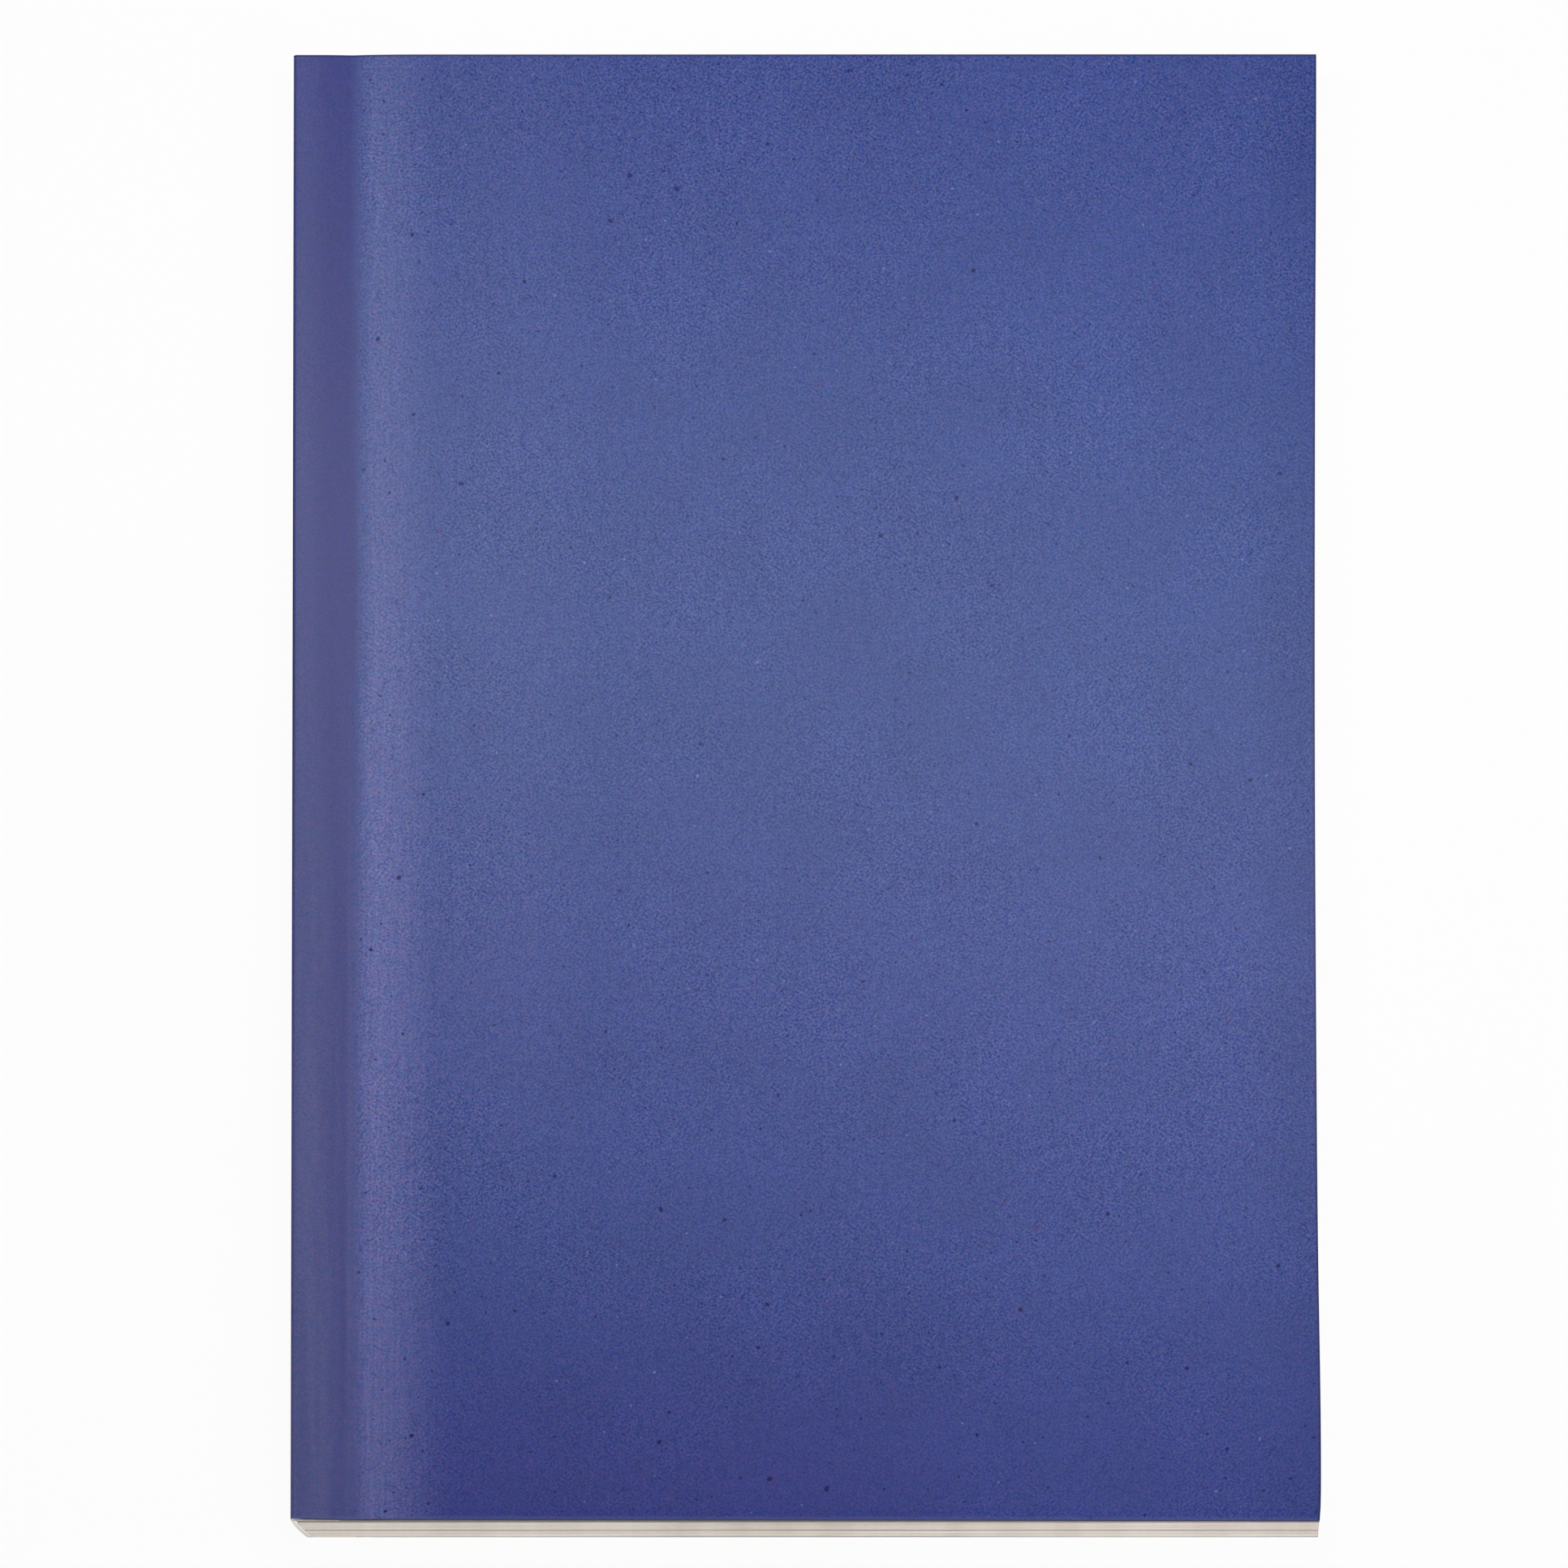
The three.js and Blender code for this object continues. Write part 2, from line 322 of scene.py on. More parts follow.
def flat_sheet(low, high, rows):
    """A flat sheet from x low to x high, as long as the notebook is high."""
    bm = bmesh.new()
    bmesh.ops.create_grid(bm, x_segments=1, y_segments=rows, size=0.5)
    bmesh.ops.scale(bm, vec=(high - low, HEIGHT, 1), verts=bm.verts)
    bmesh.ops.translate(bm, vec=((low + high) / 2, 0, 0), verts=bm.verts)
    return bm


def extrude_down(bm, thickness):
    """Gives a flat sheet its thickness, with all faces pointing out."""
    made = bmesh.ops.extrude_face_region(bm, geom=bm.faces[:])
    lowered = [g for g in made["geom"] if isinstance(g, bmesh.types.BMVert)]
    bmesh.ops.translate(bm, vec=(0, 0, -thickness), verts=lowered)
    bmesh.ops.recalc_face_normals(bm, faces=bm.faces)


def write_uv(bm):
    """The sheet's own UV map, in metres: u along x and v along y of the sheet as it lies flat."""
    layer = bm.loops.layers.uv.new(SHEET_UV)
    for face in bm.faces:
        for loop in face.loops:
            loop[layer].uv = (loop.vert.co.x, loop.vert.co.y)


def mark_cut_edges(bm):
    """Faces that stand on edge are the trimmed ones and take the second material."""
    for face in bm.faces:
        face.material_index = 1 if abs(face.normal.z) < ON_EDGE else 0
        face.smooth = True
    for edge in bm.edges:
        if len(edge.link_faces) == 2 and edge.calc_face_angle() > SHARP_ANGLE:
            edge.smooth = False


def to_piece(bm, name, materials):
    """Makes the bmesh an object of the scene, at the origin."""
    mesh = bpy.data.meshes.new(name)
    bm.to_mesh(mesh)
    bm.free()
    for material in materials:
        mesh.materials.append(material)
    piece = bpy.data.objects.new(name, mesh)
    bpy.context.scene.collection.objects.link(piece)
    return piece


# The card cover

def card_piece(name, node, low, high, cuts, materials):
    """One length of the cover sheet, from u low to u high, in place of that node."""
    bm = flat_sheet(low, high, COVER_ROWS)
    cut_at(bm, cuts, ACROSS)
    cut_at(bm, [TAIL_Y + LIP_RADIUS * share for share in LIP_ROWS], ALONG)
    extrude_down(bm, 1.0)
    write_uv(bm)
    mark_cut_edges(bm)
    for vert in bm.verts:
        vert.co = card_point(vert.co.x, vert.co.y, -vert.co.z)
    piece = to_piece(bm, name, materials)
    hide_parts(node)
    return piece


def fold_with(piece):
    """Bakes a cover's placement into its mesh."""
    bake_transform(piece)


def make_cover(materials):
    """The cover sheet in three lengths, with more rows of faces where it bends."""
    cuts = (
        spaced(FRONT_SCORE_U, SPRUNG_ROWS_END, SPRUNG_ROWS)
        + spaced(SPRUNG_ROWS_END, WIDTH, FLAT_PANEL_ROWS)[:-1]
    )
    low, high = FRONT_SCORE_U + CARD_FOLD_START, WIDTH
    front = card_piece("cover_front", "cover_front_panel", low, high, cuts, materials)
    fold_with(front)

    cuts = (
        spaced(FRONT_FOLD_START, FRONT_SCORE_U, STRIP_ROWS)
        + spaced(SPINE_START, FRONT_FOLD_START, FRONT_FOLD_ROWS)
        + spaced(BACK_FOLD_START, SPINE_START, SPINE_ROWS)
        + spaced(BACK_START, BACK_FOLD_START, BACK_FOLD_ROWS)
        + spaced(BACK_SCORE_U, BACK_START, BACK_STRIP_ROWS)
    )
    low, high = BACK_SCORE_U - CARD_FOLD_START, FRONT_SCORE_U + CARD_FOLD_START
    wrap = card_piece("cover_spine", "cover_spine_wrap", low, high, cuts, materials)
    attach(wrap, "bound_block")

    bend_end = BACK_SCORE_U - BACK_BEND_WIDTH
    cuts = (
        spaced(bend_end, BACK_SCORE_U, BACK_BEND_ROWS)
        + spaced(BACK_EDGE_U, bend_end, BACK_PANEL_ROWS)[1:]
    )
    low, high = BACK_EDGE_U, BACK_SCORE_U - CARD_FOLD_START
    back = card_piece("cover_back", "cover_back_panel", low, high, cuts, materials)
    fold_with(back)


# The leaves

def notch_centres():
    """Y of the middle of each milled notch."""
    count = math.floor((HEIGHT - 2 * NOTCH_END_MARGIN) / NOTCH_PITCH) + 1
    return [(i - (count - 1) / 2) * NOTCH_PITCH for i in range(count)]


def leaf_outline(bound_x):
    """Corners of one leaf, from the tail of its bound edge round the fore edge and back along the notches."""
    points = [(x, TAIL_Y) for x in spaced(bound_x, FORE_X, LEAF_ROWS_ACROSS)]
    points += [(FORE_X, y) for y in spaced(TAIL_Y, HEAD_Y, LEAF_ROWS_ALONG)[1:]]
    points += [(x, HEAD_Y) for x in spaced(FORE_X, bound_x, LEAF_ROWS_ACROSS)[1:]]
    milled_x = bound_x + NOTCH_DEPTH
    for y in reversed(notch_centres()):
        above, below = y + NOTCH_WIDTH / 2, y - NOTCH_WIDTH / 2
        points += [(bound_x, above), (milled_x, above), (milled_x, below), (bound_x, below)]
    return points


def shading(z):
    """How strongly a leaf at this height takes the painted shade of a dark line across the block's edge."""
    return sum(
        strength * math.exp(-(((z - line) / half) ** 2))
        for line, half, strength in SHADED_LINES
    )


def add_leaf(bm, tone_and_shade_layer, top, draw, cuts=()):
    """Adds one leaf with its top face at that height. draw is this block's seeded random stream."""
    bound_x = spine_x(LEAF_EDGE_DEPTH, top - LEAF_CALIPER / 2)
    leaf = bmesh.new()
    leaf.faces.new([leaf.verts.new((x, y, 0)) for x, y in leaf_outline(bound_x)])
    cut_at(leaf, cuts, ACROSS)
    extrude_down(leaf, LEAF_CALIPER)
    write_uv(leaf)
    mark_cut_edges(leaf)
    shade = shading(top)
    inset = 1 - LEAF_SET_BACK * min(1.0, shade) / (HEIGHT / 2)
    inwards = block_lean(top) - LEAF_SET_BACK
    shift = Vector((inwards + draw.uniform(-1, 1) * LEAF_SHIFT, draw.uniform(-1, 1) * LEAF_SHIFT, top))
    phase = draw.uniform(0, 2 * math.pi)
    for vert in leaf.verts:
        share = (vert.co.x - SPINE_X) / WIDTH
        ripple = LEAF_RIPPLE * wave(vert.co.x, (RIPPLE_ACROSS, phase))
        drift = fore_drift(share, vert.co.y) + LEAF_RIPPLE * wave(vert.co.y, (RIPPLE_ALONG, phase)) * share
        vert.co.y *= inset
        vert.co += Vector((drift + shift.x * share, ripple + shift.y, shift.z))
    mesh = bpy.data.meshes.new("leaf")
    leaf.to_mesh(mesh)
    leaf.free()
    first = len(bm.verts)
    bm.from_mesh(mesh)
    bpy.data.meshes.remove(mesh)
    bm.verts.ensure_lookup_table()
    # A leaf's own random tone, plus its painted shade
    tone = draw.uniform(-0.5, 0.5) + shade
    for vert in bm.verts[first:]:
        vert[tone_and_shade_layer] = tone


def new_leaves():
    """An empty bmesh for leaves, with the attribute that keeps each leaf's own tone plus its painted shade.
    """
    bm = bmesh.new()
    return bm, bm.verts.layers.float.new(LEAF_TONE_AND_SHADE)


def make_turning_leaves(side, score, materials):
    """The leaves next to one cover, with more rows of faces beside their gutter, which they replace together.
    """
    draw = random.Random("turning " + side)
    start, end = score + LEAF_FOLD_START, score + LEAF_FOLD_END
    cuts = spaced(start, end, LEAF_BEND_ROWS)
    for i in range(1, TURNING_LEAVES + 1):
        node = f"{side}_leaf_{i:02d}"
        bm, tone_and_shade_layer = new_leaves()
        add_leaf(bm, tone_and_shade_layer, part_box(node)[1].z, draw, cuts)
        leaf = to_piece(bm, f"turning_{node}", materials)
        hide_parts(node, f"{side}_leaf_margins")
        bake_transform(leaf)


def make_sections(materials):
    """The closed leaves in the middle of the block, leaf by leaf."""
    draw = random.Random("sections")
    for i in range(1, SECTIONS + 1):
        node = f"page_section_{i}"
        bm, tone_and_shade_layer = new_leaves()
        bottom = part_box(node)[0].z
        for k in range(LEAVES_PER_SECTION):
            add_leaf(bm, tone_and_shade_layer, bottom + k * LEAF_PITCH + LEAF_CALIPER, draw)
        section = to_piece(bm, f"leaves_of_section_{i}", materials)
        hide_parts(node)
        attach(section, "bound_block")


# Shader helpers

def colour(red, green, blue):
    """Linear colour of an sRGB triple written from 0 to 255."""
    def linear(value):
        share = value / 255
        return share / 12.92 if share <= 0.04045 else ((share + 0.055) / 1.055) ** 2.4
    return linear(red), linear(green), linear(blue), 1.0


def add_node(tree, kind, inputs=None, **settings):
    """Adds a shader node. An input is either a socket to link from or a plain value."""
    made = tree.nodes.new("ShaderNode" + kind)
    for key, value in settings.items():
        setattr(made, key, value)
    for key, value in (inputs or {}).items():
        if isinstance(value, bpy.types.NodeSocket):
            tree.links.new(value, made.inputs[key])
        else:
            made.inputs[key].default_value = value
    return made


def calc(tree, operation, a, b=0.0):
    """One step of arithmetic in the shader."""
    return add_node(tree, "Math", {0: a, 1: b}, operation=operation).outputs[0]


def scaled(tree, value, factor):
    """The value times a factor."""
    return calc(tree, "MULTIPLY", value, factor)


def swing(tree, value, amount):
    """Turns noise about 0.5 into a swing about 0."""
    return scaled(tree, calc(tree, "SUBTRACT", value, 0.5), amount)


def ramp(tree, value, low, high, out_low=0.0, out_high=1.0):
    """Goes softly from out_low to out_high while the value goes from low to high."""
    inputs = {"Value": value, "From Min": low, "From Max": high, "To Min": out_low, "To Max": out_high}
    return add_node(tree, "MapRange", inputs, interpolation_type="SMOOTHSTEP").outputs["Result"]


# Sockets of the Mix node when it mixes colours
MIX_FACTOR, MIX_FIRST, MIX_SECOND = 0, 6, 7
MIX_RESULT = 2


def mixed(tree, factor, a, b, mode="MIX"):
    """Blend of two colours, b by that factor."""
    made = add_node(tree, "Mix", data_type="RGBA", blend_type=mode)
    for index, value in ((MIX_FACTOR, factor), (MIX_FIRST, a), (MIX_SECOND, b)):
        if isinstance(value, bpy.types.NodeSocket):
            tree.links.new(value, made.inputs[index])
        else:
            made.inputs[index].default_value = value
    return made.outputs[MIX_RESULT]


def brighter(tree, base, factor):
    """The colour times a grey level."""
    grey = add_node(tree, "CombineXYZ", {0: factor, 1: factor, 2: factor}).outputs[0]
    return mixed(tree, 1.0, base, grey, "MULTIPLY")


def noise(tree, vector, size, detail=2.0, roughness=0.5):
    """Cloudy noise with features of about that size."""
    inputs = {"Vector": vector, "Scale": 1 / size, "Detail": detail, "Roughness": roughness}
    return add_node(tree, "TexNoise", inputs, noise_dimensions="2D").outputs["Fac"]


def stretched(tree, vector, angle, across, along):
    """The vector turned by an angle and divided by a size along and across."""
    inputs = {"Vector": vector, "Rotation": (0, 0, angle)}
    turned = add_node(tree, "Mapping", inputs).outputs[0]
    scale = (1 / along, 1 / across, 1)
    return add_node(tree, "Mapping", {"Vector": turned, "Scale": scale}).outputs[0]


def spots(tree, vector, radius, share):
    """Soft dots, one in each Voronoi cell of a share of the cells."""
    cell = add_node(tree, "TexVoronoi", {"Vector": vector, "Scale": 1.0}, voronoi_dimensions="2D")
    dice = add_node(tree, "SeparateColor", {"Color": cell.outputs["Color"]})
    size = scaled(tree, ramp(tree, dice.outputs["Green"], 0, 1, SMALLEST_SPOT, 1.0), radius)
    near = calc(tree, "SUBTRACT", 1.0, calc(tree, "DIVIDE", cell.outputs["Distance"], size))
    dot = ramp(tree, near, 0.0, SPOT_SOFTNESS)
    chosen = calc(tree, "LESS_THAN", dice.outputs["Red"], share)
    return calc(tree, "MULTIPLY", dot, chosen)


def new_material(name):
    """A new material, its node tree and its shader."""
    material = bpy.data.materials.new(name)
    material.use_nodes = True
    tree = material.node_tree
    return material, tree, tree.nodes["Principled BSDF"]


def finish_surface(tree, shader, base, height, surface):
    """Gives the shader its colour, roughness, sheen and small bumps."""
    roughness, sheen, bump_strength, bump_depth = surface
    tree.links.new(base, shader.inputs["Base Color"])
    shader.inputs["Roughness"].default_value = roughness
    shader.inputs["Specular IOR Level"].default_value = sheen
    bump = add_node(tree, "Bump", {"Strength": bump_strength, "Distance": bump_depth, "Height": height})
    tree.links.new(bump.outputs[0], shader.inputs["Normal"])


# Finishes

# Nearly all of a noise's values lie between these
NOISE_LOW, NOISE_HIGH = 0.3, 0.7
ROUGH_NOISE = 0.6  # roughness of the noises that have much fine detail

CARD_BLUE = colour(55, 75, 142)
# Painted light and shade of the covers: head, lower middle, tail and tail-fore corner
CARD_HEAD_PAINTED_LIGHT = colour(59, 74, 142)
CARD_LOW_PAINTED_LIGHT = colour(62, 77, 148)
CARD_TAIL_PAINTED_SHADE = colour(57, 64, 140)
CARD_TAIL_FORE_PAINTED_SHADE = colour(58, 69, 144)
CARD_STRIP = colour(65, 71, 132)
CARD_STRIP_PALE = colour(87, 91, 147)
CARD_STRIP_DARK = colour(62, 66, 130)
SCORE_SHADE = (0.7, 0.7, 0.9, 1)
# Crest beside the score: rubbed paler, with a painted highlight where its slope catches the light
CARD_CREST_HEAD_RUB_AND_HIGHLIGHT = colour(89, 99, 158)
CARD_CREST_TAIL_RUB_AND_HIGHLIGHT = colour(111, 115, 176)
CARD_SPECK = colour(16, 24, 96)
CARD_FIBRE = colour(28, 42, 116)
CARD_RED_FIBRE = colour(98, 40, 84)
CARD_LIGHT_SPECK = colour(122, 134, 184)
# Trimmed lips: rubbed wear with a painted highlight, painted shade, and the cut's colour that is partly
# painted shade
CARD_LIP_WEAR_AND_HIGHLIGHT = colour(98, 102, 152)
CARD_LIP_SHADE = colour(16, 22, 84)
CARD_CUT_AND_SHADE = colour(50, 54, 84)
CARD_CUT_DARK = colour(36, 40, 66)
CARD_CUT_PALE = colour(230, 223, 213)

# Roughness, sheen, and strength and depth of the small bumps
CARD_SURFACE = (0.4, 0.225, 0.3, 0.02 * MM)
CARD_EDGE_SURFACE = (0.85, 0.2, 0.4, 0.04 * MM)
PAPER_SURFACE = (0.8, 0.25, 0.2, 0.02 * MM)
PAPER_EDGE_SURFACE = (0.9, 0.15, 0.3, 0.02 * MM)
GLUE_SURFACE = (0.38, 0.5, 0.3, 0.05 * MM)

# The border between open covers and glued strips wanders: size and amount, then its reach at each score
BORDER_WANDER_SIZE = 14 * MM
BORDER_WANDER = 2 * MM
FRONT_BORDER = (FRONT_SCORE_U - 0.6 * MM, FRONT_SCORE_U + 2.2 * MM)
BACK_BORDER = (BACK_SCORE_U - 3 * MM, BACK_SCORE_U + 0.4 * MM)

# Mottle of the pulp, in two sizes: angle, size, detail, roughness and strength
FINE_GRAIN = (0.6, 0.36 * MM, 1.5, ROUGH_NOISE, 1.05)
CLUMP_GRAIN = (1.1, 1.5 * MM, 3, ROUGH_NOISE, 0.26)

# Faint lines drawn along the spine as the card was made
DRAWN_STRETCH = (1.0, 0.05, 1)
DRAWN_SIZE = 0.6 * MM
DRAWN_STRENGTH = 0.09

# The mottle is stronger in some patches: size, then noise from, noise to, strength at each
GRAIN_PATCH_SIZE = 24 * MM
GRAIN_PATCHES = (NOISE_LOW, NOISE_HIGH, 0.72, 1.12)

# Where the full grain of the open covers starts beside a score, and how strong it is elsewhere
GRAIN_START, GRAIN_FULL = 0.2 * MM, 2 * MM
STRIP_GRAIN = 0.33
CREST_CALM_HEAD, CREST_CALM_TAIL = 0.06, 0.28
GRAIN_FADE_START = -50 * MM
TAIL_GRAIN = 0.7

# Contrast of the grain in red, green and blue, on the card and on its crest, which is rubbed and has a
# painted highlight
GRAIN_CONTRAST = (3.6, 2.4, 0.92, 1)
CREST_CONTRAST = (2.7, 2.6, 1.1, 1)

# The pulp's tint wanders by this much in red, green and blue
PULP_TINT = (1.15, 0.19, 0.38)
PULP_TINT_ANGLE = 0.3
PULP_TINT_SIZE = 1.4 * MM
PULP_TINT_DETAIL = 3.0
PULP_TINT_ROUGHNESS = 0.75

# Painted light and shade on the covers, standing for how the light falls off along the spine: from y, to y,
# colour.
# At the tail, the painted shade also changes across the cover: from u, to u.
PANEL_PAINTED_LIGHT = (
    (30 * MM, 120 * MM, CARD_HEAD_PAINTED_LIGHT),
    (20 * MM, -40 * MM, CARD_LOW_PAINTED_LIGHT),
)
TAIL_PAINTED_SHADE = (-65 * MM, -115 * MM)
TAIL_SHADE_ACROSS = (75 * MM, 115 * MM)

# Grey levels that the card's colour is multiplied by: painted light towards the fore edge, where the lamps
# fall off, and paler at the strip's head: from u or y, to u or y, level at each
FORE_PAINTED_LIGHT = (85 * MM, 118 * MM, 1.0, 1.05)
STRIP_HEAD_PALER = (85 * MM, HEAD_Y, 1.0, 1.1)

# Soft clouds in the dye of the covers: size, then noise from, noise to, grey level at each
DYE_CLOUD_SIZE = 16 * MM
DYE_CLOUDS = (NOISE_LOW, NOISE_HIGH, 0.965, 1.035)

# Dark bands along the glued strips: stretch, size, then noise from, noise to, share at each
STRIP_BAND_STRETCH = (5.5, 0.25, 1)
STRIP_BAND_SIZE = 10 * MM
STRIP_BANDS = (0.35, 0.65, 0, 0.3)

# Crest beside the score, rubbed paler and with a painted highlight where its slope catches the light,
# measured from the spine edge
CREST_START = 8.2 * MM
CREST_RISE_END = 12.4 * MM
CREST_FALL = 10.5 * MM
CREST_END = 24.5 * MM
CREST_RUB_AND_HIGHLIGHT = 0.88
CREST_HAZE = 0.11
HAZE_FALL = 32 * MM
HAZE_END = 48 * MM
HAZE_TAIL, HAZE_FULL = -80 * MM, -30 * MM  # places along the spine

# The rub and its painted highlight run in streaks along the spine: stretch, size, then noise from, noise to,
# strength at each
STREAK_STRETCH = (6, 0.16, 1)
STREAK_SIZE = 2.4 * MM
STREAKS = (0.25, 0.75, 0.7, 1.0)

# Shade of the score's hollow, from the strip to the middle of the hollow and out again
SCORE_SHADE_START = 2.5 * MM
SCORE_SHADE_FULL = 6.9 * MM
SCORE_SHADE_FALL = 7.9 * MM
SCORE_SHADE_END = 9.9 * MM

# The painted shade of the score's hollow and the crest's rub and painted highlight run a little askew: from
# y, to y, shift at the head and at the tail
SCORE_DRIFT = (50 * MM, -90 * MM, -0.35 * MM, 0.45 * MM)
SHADE_SPREAD = 3.0  # the shade on the strip's side shifts this much more, and the other way

# The card's cut edge is dark over the front cover, partly its own colour and partly painted shade, and bare
# and pale from this distance to the spine and back
BARE_CORNER = 2.2 * MM

# The crest's rub and painted highlight, and the strip's paler tone, change between these places along the
# spine
CREST_CHANGE_HEAD = 85 * MM
CREST_CHANGE_TAIL = -45 * MM
STRIP_PALER_HEAD = 30 * MM
STRIP_PALER_TAIL = -85 * MM

# Trimmed lips of the card: strength and width of the pale line (wear and painted highlight), the cut line
# (partly painted shade) and the dark line (painted shade), and painted shade towards the fore edge
PALE_LIP = 0.35
PALE_LIP_WIDTH = 0.8 * MM
CUT_LIP_WIDTH = 0.12 * MM
DARK_LIP = 1.0
DARK_LIP_WIDTH = 0.45 * MM
FORE_PAINTED_SHADE = (0.86, 0.88, 0.92, 1)
FORE_SHADE_REACH = 13 * MM

# Specks in the pulp: angle, cell size, radius, share of cells, colour and strength
SPECKS = (
    (0.3, 9 * MM, 0.42 * MM, 0.24, CARD_SPECK, 1.0),
    (1.1, 3.6 * MM, 0.28 * MM, 0.3, CARD_SPECK, 0.8),
    (0.7, 5 * MM, 0.24 * MM, 0.14, CARD_LIGHT_SPECK, 0.6),
)

# Fibres in the pulp: angle, share of cells, colour and strength
FIBRES = (
    (0.4, 0.3, CARD_FIBRE, 0.42),
    (1.25, 0.26, CARD_FIBRE, 0.36),
    (2.0, 0.26, CARD_FIBRE, 0.42),
    (2.8, 0.26, CARD_FIBRE, 0.36),
    (2.3, 0.012, CARD_RED_FIBRE, 0.6),
)
FIBRE_CELL_WIDTH = 1.2 * MM
FIBRE_CELL_LENGTH = 11 * MM
FIBRE_HALF_WIDTH = 0.16 * MM
FIBRE_CURL = 1.1 * MM
FIBRE_CURL_SIZE = 2.2 * MM
STRIP_SPECKS = 0.12
SMALLEST_SPOT = 0.45  # as a share of the largest
SPOT_SOFTNESS = 0.4


def sheet_uv(tree):
    """The sheet's map, and its u and v on their own."""
    uv = add_node(tree, "UVMap", uv_map=SHEET_UV).outputs["UV"]
    parts = add_node(tree, "SeparateXYZ", {"Vector": uv})
    return uv, parts.outputs["X"], parts.outputs["Y"]


def panel_share(tree, uv, u):
    """1 on the open covers, 0 on the glued hinge strips and the spine, with an uneven border."""
    wander = swing(tree, noise(tree, uv, BORDER_WANDER_SIZE, 3), BORDER_WANDER)
    here = calc(tree, "ADD", u, wander)
    front = ramp(tree, here, *FRONT_BORDER)
    back = ramp(tree, here, *BACK_BORDER, 1.0, 0.0)
    return calc(tree, "MAXIMUM", front, back)


def panel_colour(tree, uv, u, v):
    """Blue of the open covers, with painted light and shade along the spine and at the tail, painted light
    towards the fore edge, and soft clouds in the dye.
    """
    base = CARD_BLUE
    for start, end, tint in PANEL_PAINTED_LIGHT:
        base = mixed(tree, ramp(tree, v, start, end), base, tint)
    tail = mixed(tree, ramp(tree, u, *TAIL_SHADE_ACROSS), CARD_TAIL_PAINTED_SHADE, CARD_TAIL_FORE_PAINTED_SHADE)
    base = mixed(tree, ramp(tree, v, *TAIL_PAINTED_SHADE), base, tail)
    base = brighter(tree, base, ramp(tree, u, *FORE_PAINTED_LIGHT))
    return brighter(tree, base, ramp(tree, noise(tree, uv, DYE_CLOUD_SIZE, 3, ROUGH_NOISE), *DYE_CLOUDS))


def strip_colour(tree, uv, u, v, drift):
    """Greyer blue of the glued hinge strips and the spine, shaded in the hollow of the score."""
    base = mixed(tree, ramp(tree, v, STRIP_PALER_HEAD, STRIP_PALER_TAIL), CARD_STRIP, CARD_STRIP_PALE)
    where = add_node(tree, "Mapping", {"Vector": uv, "Scale": STRIP_BAND_STRETCH}).outputs[0]
    bands = ramp(tree, noise(tree, where, STRIP_BAND_SIZE, 3), *STRIP_BANDS)
    base = mixed(tree, bands, base, CARD_STRIP_DARK)
    base = brighter(tree, base, ramp(tree, v, *STRIP_HEAD_PALER))
    before = calc(tree, "SUBTRACT", u, scaled(tree, drift, SHADE_SPREAD))
    into = ramp(tree, before, SCORE_SHADE_START, SCORE_SHADE_FULL)
    out_of = ramp(tree, calc(tree, "ADD", u, drift), SCORE_SHADE_FALL, SCORE_SHADE_END, 1.0, 0.0)
    return mixed(tree, calc(tree, "MULTIPLY", into, out_of), base, SCORE_SHADE, "MULTIPLY")


def crest_rub_and_highlight(tree, uv, u, v, drift):
    """How far the crest is rubbed paler and painted with a highlight: in streaks up to its end, and as a
    faint painted haze beyond.
    """
    where = add_node(tree, "Mapping", {"Vector": uv, "Scale": STREAK_STRETCH}).outputs[0]
    streaks = ramp(tree, noise(tree, where, STREAK_SIZE, 3), *STREAKS)
    rising = ramp(tree, calc(tree, "ADD", u, drift), CREST_START, CREST_RISE_END)
    falling = calc(tree, "MULTIPLY", ramp(tree, u, CREST_FALL, CREST_END, CREST_RUB_AND_HIGHLIGHT, 0.0), streaks)
    fading = ramp(tree, u, HAZE_FALL, HAZE_END, CREST_HAZE, 0.0)
    haze = calc(tree, "MULTIPLY", fading, ramp(tree, v, HAZE_TAIL, HAZE_FULL))
    return calc(tree, "MULTIPLY", rising, calc(tree, "MAXIMUM", falling, haze))


def sheet_colour(tree, uv, u, v, panel):
    """Dyed card: bluer panels, greyer glued strips, darkest in the score with painted shade, rubbed pale with
    a painted highlight on the crest, and painted shade towards the fore edge.
    """
    drift = ramp(tree, v, *SCORE_DRIFT)
    base = mixed(tree, panel, strip_colour(tree, uv, u, v, drift), panel_colour(tree, uv, u, v))
    crest = mixed(tree, ramp(tree, v, CREST_CHANGE_HEAD, CREST_CHANGE_TAIL), CARD_CREST_HEAD_RUB_AND_HIGHLIGHT, CARD_CREST_TAIL_RUB_AND_HIGHLIGHT)
    base = mixed(tree, crest_rub_and_highlight(tree, uv, u, v, drift), base, crest)
    # Painted shade towards the fore edge, where the light falls off
    fore_shade = ramp(tree, calc(tree, "SUBTRACT", WIDTH, u), 0, FORE_SHADE_REACH, 1.0, 0.0)
    return mixed(tree, fore_shade, base, FORE_PAINTED_SHADE, "MULTIPLY")


def turned_grain(tree, uv, angle, size, detail, roughness, strength):
    """Noise on the turned sheet, so that it doesn't line up with the sheet's edges."""
    turned = stretched(tree, uv, angle, 1, 1)
    return swing(tree, noise(tree, turned, size, detail, roughness), strength)


